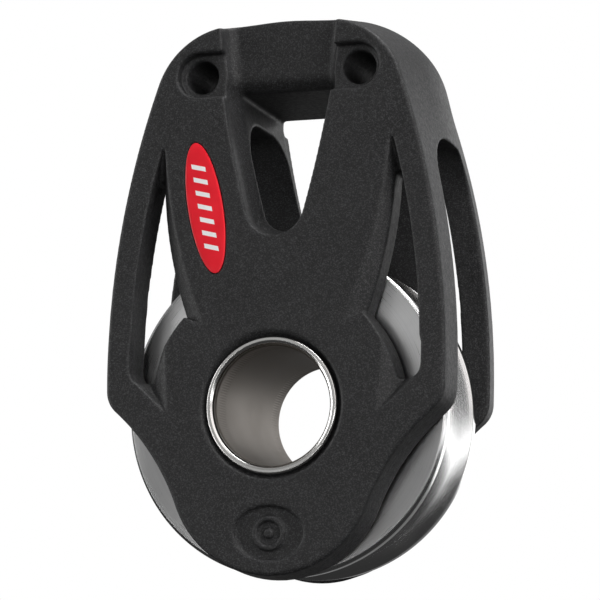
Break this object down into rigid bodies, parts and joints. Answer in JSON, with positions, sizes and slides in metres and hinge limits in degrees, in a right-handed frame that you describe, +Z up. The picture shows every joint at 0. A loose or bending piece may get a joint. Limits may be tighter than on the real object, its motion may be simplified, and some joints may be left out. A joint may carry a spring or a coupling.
{
  "type": "single sheave block",
  "caption": "Single sheave block for rope: moulded cheek body with lashing head, turned sheave on a caged roller bearing, hollow hub tube.",
  "frame": {"origin": "on the sheave axis, at mid depth between the two cheeks", "axes": "+X to the right across the block, +Y to the rear along the sheave axis, +Z up towards the lashing head"},
  "size_m": [0.0324, 0.0182, 0.0512],
  "materials": {
    "moulded_nylon": "fine matt grain, glass-filled black",
    "sheave_alloy": "satin turned sides, polished groove walls",
    "hub_steel": "polished lips, finely turned bore",
    "race_steel": "ground",
    "cage_polymer": "smooth",
    "washer_polymer": "smooth",
    "badge_red": "gloss"
  },
  "bodies": {
    "root": {"cheek_body": "moulded_nylon", "hub_tube": "hub_steel", "inner_race": "race_steel", "front_thrust_washer": "washer_polymer", "rear_thrust_washer": "washer_polymer", "front_badge": "badge_red", "rear_badge": "badge_red"},
    "sheave": {"sheave": "sheave_alloy", "outer_race": "race_steel"},
    "cage": {"roller_cage": "cage_polymer"},
    "roller_01": {"roller_01": "race_steel"},
    "roller_02": {"roller_02": "race_steel"},
    "roller_03": {"roller_03": "race_steel"},
    "roller_04": {"roller_04": "race_steel"},
    "roller_05": {"roller_05": "race_steel"},
    "roller_06": {"roller_06": "race_steel"},
    "roller_07": {"roller_07": "race_steel"},
    "roller_08": {"roller_08": "race_steel"},
    "roller_09": {"roller_09": "race_steel"},
    "roller_10": {"roller_10": "race_steel"},
    "roller_11": {"roller_11": "race_steel"},
    "roller_12": {"roller_12": "race_steel"}
  },
  "joints": [
    {"name": "sheave_spin", "type": "hinge", "parent": "root", "child": "sheave", "pos_m": [0, 0, 0], "axis": [0, 1, 0], "continuous": true},
    {"name": "cage_spin", "type": "hinge", "parent": "root", "child": "cage", "pos_m": [0, 0, 0], "axis": [0, 1, 0], "continuous": true},
    {"name": "roller_01_spin", "type": "hinge", "parent": "cage", "child": "roller_01", "pos_m": [0.0082, 0, 0], "axis": [0, 1, 0], "continuous": true},
    {"name": "roller_02_spin", "type": "hinge", "parent": "cage", "child": "roller_02", "pos_m": [0.0071, 0, 0.0041], "axis": [0, 1, 0], "continuous": true},
    {"name": "roller_03_spin", "type": "hinge", "parent": "cage", "child": "roller_03", "pos_m": [0.0041, 0, 0.0071], "axis": [0, 1, 0], "continuous": true},
    {"name": "roller_04_spin", "type": "hinge", "parent": "cage", "child": "roller_04", "pos_m": [0, 0, 0.0082], "axis": [0, 1, 0], "continuous": true},
    {"name": "roller_05_spin", "type": "hinge", "parent": "cage", "child": "roller_05", "pos_m": [-0.0041, 0, 0.0071], "axis": [0, 1, 0], "continuous": true},
    {"name": "roller_06_spin", "type": "hinge", "parent": "cage", "child": "roller_06", "pos_m": [-0.0071, 0, 0.0041], "axis": [0, 1, 0], "continuous": true},
    {"name": "roller_07_spin", "type": "hinge", "parent": "cage", "child": "roller_07", "pos_m": [-0.0082, 0, 0], "axis": [0, 1, 0], "continuous": true},
    {"name": "roller_08_spin", "type": "hinge", "parent": "cage", "child": "roller_08", "pos_m": [-0.0071, 0, -0.0041], "axis": [0, 1, 0], "continuous": true},
    {"name": "roller_09_spin", "type": "hinge", "parent": "cage", "child": "roller_09", "pos_m": [-0.0041, 0, -0.0071], "axis": [0, 1, 0], "continuous": true},
    {"name": "roller_10_spin", "type": "hinge", "parent": "cage", "child": "roller_10", "pos_m": [0, 0, -0.0082], "axis": [0, 1, 0], "continuous": true},
    {"name": "roller_11_spin", "type": "hinge", "parent": "cage", "child": "roller_11", "pos_m": [0.0041, 0, -0.0071], "axis": [0, 1, 0], "continuous": true},
    {"name": "roller_12_spin", "type": "hinge", "parent": "cage", "child": "roller_12", "pos_m": [0.0071, 0, -0.0041], "axis": [0, 1, 0], "continuous": true}
  ],
  "couplings": [
    {"joint": "cage_spin", "follows": "sheave_spin", "ratio": 0.57317},
    {"joint": "roller_01_spin", "follows": "sheave_spin", "ratio": 3.3435},
    {"joint": "roller_02_spin", "follows": "sheave_spin", "ratio": 3.3435},
    {"joint": "roller_03_spin", "follows": "sheave_spin", "ratio": 3.3435},
    {"joint": "roller_04_spin", "follows": "sheave_spin", "ratio": 3.3435},
    {"joint": "roller_05_spin", "follows": "sheave_spin", "ratio": 3.3435},
    {"joint": "roller_06_spin", "follows": "sheave_spin", "ratio": 3.3435},
    {"joint": "roller_07_spin", "follows": "sheave_spin", "ratio": 3.3435},
    {"joint": "roller_08_spin", "follows": "sheave_spin", "ratio": 3.3435},
    {"joint": "roller_09_spin", "follows": "sheave_spin", "ratio": 3.3435},
    {"joint": "roller_10_spin", "follows": "sheave_spin", "ratio": 3.3435},
    {"joint": "roller_11_spin", "follows": "sheave_spin", "ratio": 3.3435},
    {"joint": "roller_12_spin", "follows": "sheave_spin", "ratio": 3.3435}
  ]
}
